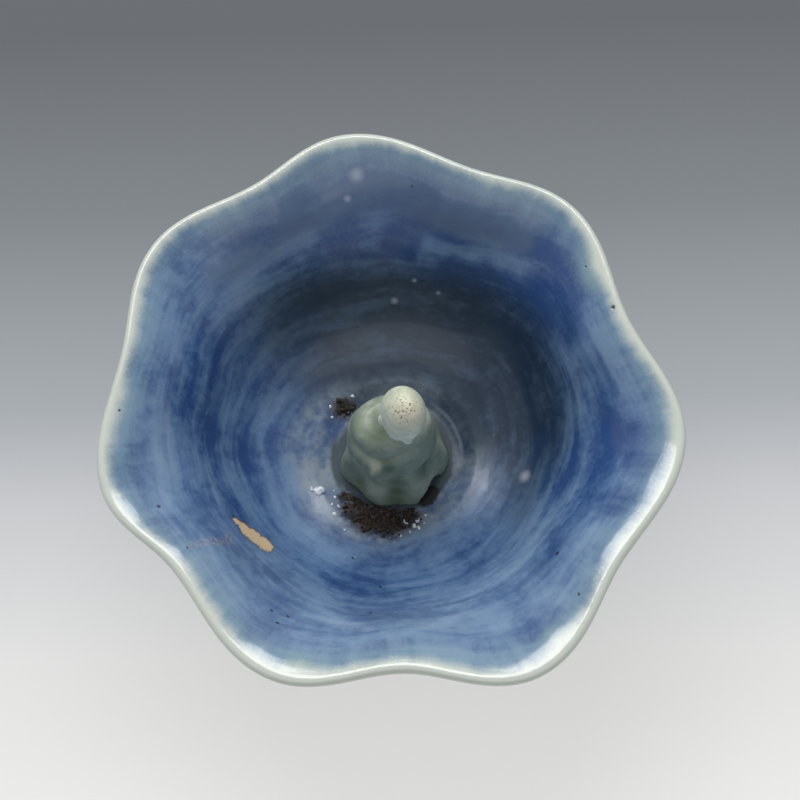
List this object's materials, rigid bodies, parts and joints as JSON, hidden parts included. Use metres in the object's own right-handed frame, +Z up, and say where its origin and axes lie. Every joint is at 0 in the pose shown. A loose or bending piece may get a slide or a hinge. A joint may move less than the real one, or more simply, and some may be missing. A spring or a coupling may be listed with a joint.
{
  "type": "siphon puzzle cup",
  "caption": "Flaring flower-lobed glazed cup, blue inside with a pale celadon lip and outside; a hollow robed figure in the well hides a siphon tube that drains through the foot.",
  "frame": {"origin": "on the ground under the axis of the foot ring", "axes": "+Z up out of the mouth; the figure in the well faces -Y, and its head leans towards +X"},
  "size_m": [0.1038, 0.1068, 0.0436],
  "materials": {
    "blue_glaze": "streaked cobalt blue gloss glaze inside, running out to pale celadon at the lip and on the outside",
    "foot_glaze": "pale celadon gloss glaze, bare on the ground face",
    "tube_glaze": "thin celadon glaze",
    "robe_glaze": "grey-green celadon gloss glaze, darker where it pools",
    "head_glaze": "pale cream-green glaze with brown iron specks"
  },
  "bodies": {
    "root": {"cup_bowl": "blue_glaze", "foot_ring": "foot_glaze", "siphon_tube": "tube_glaze", "robe_front": "robe_glaze", "robe_back": "robe_glaze", "sleeve_left": "robe_glaze", "sleeve_right": "robe_glaze", "figure_head": "head_glaze"}
  },
  "joints": []
}
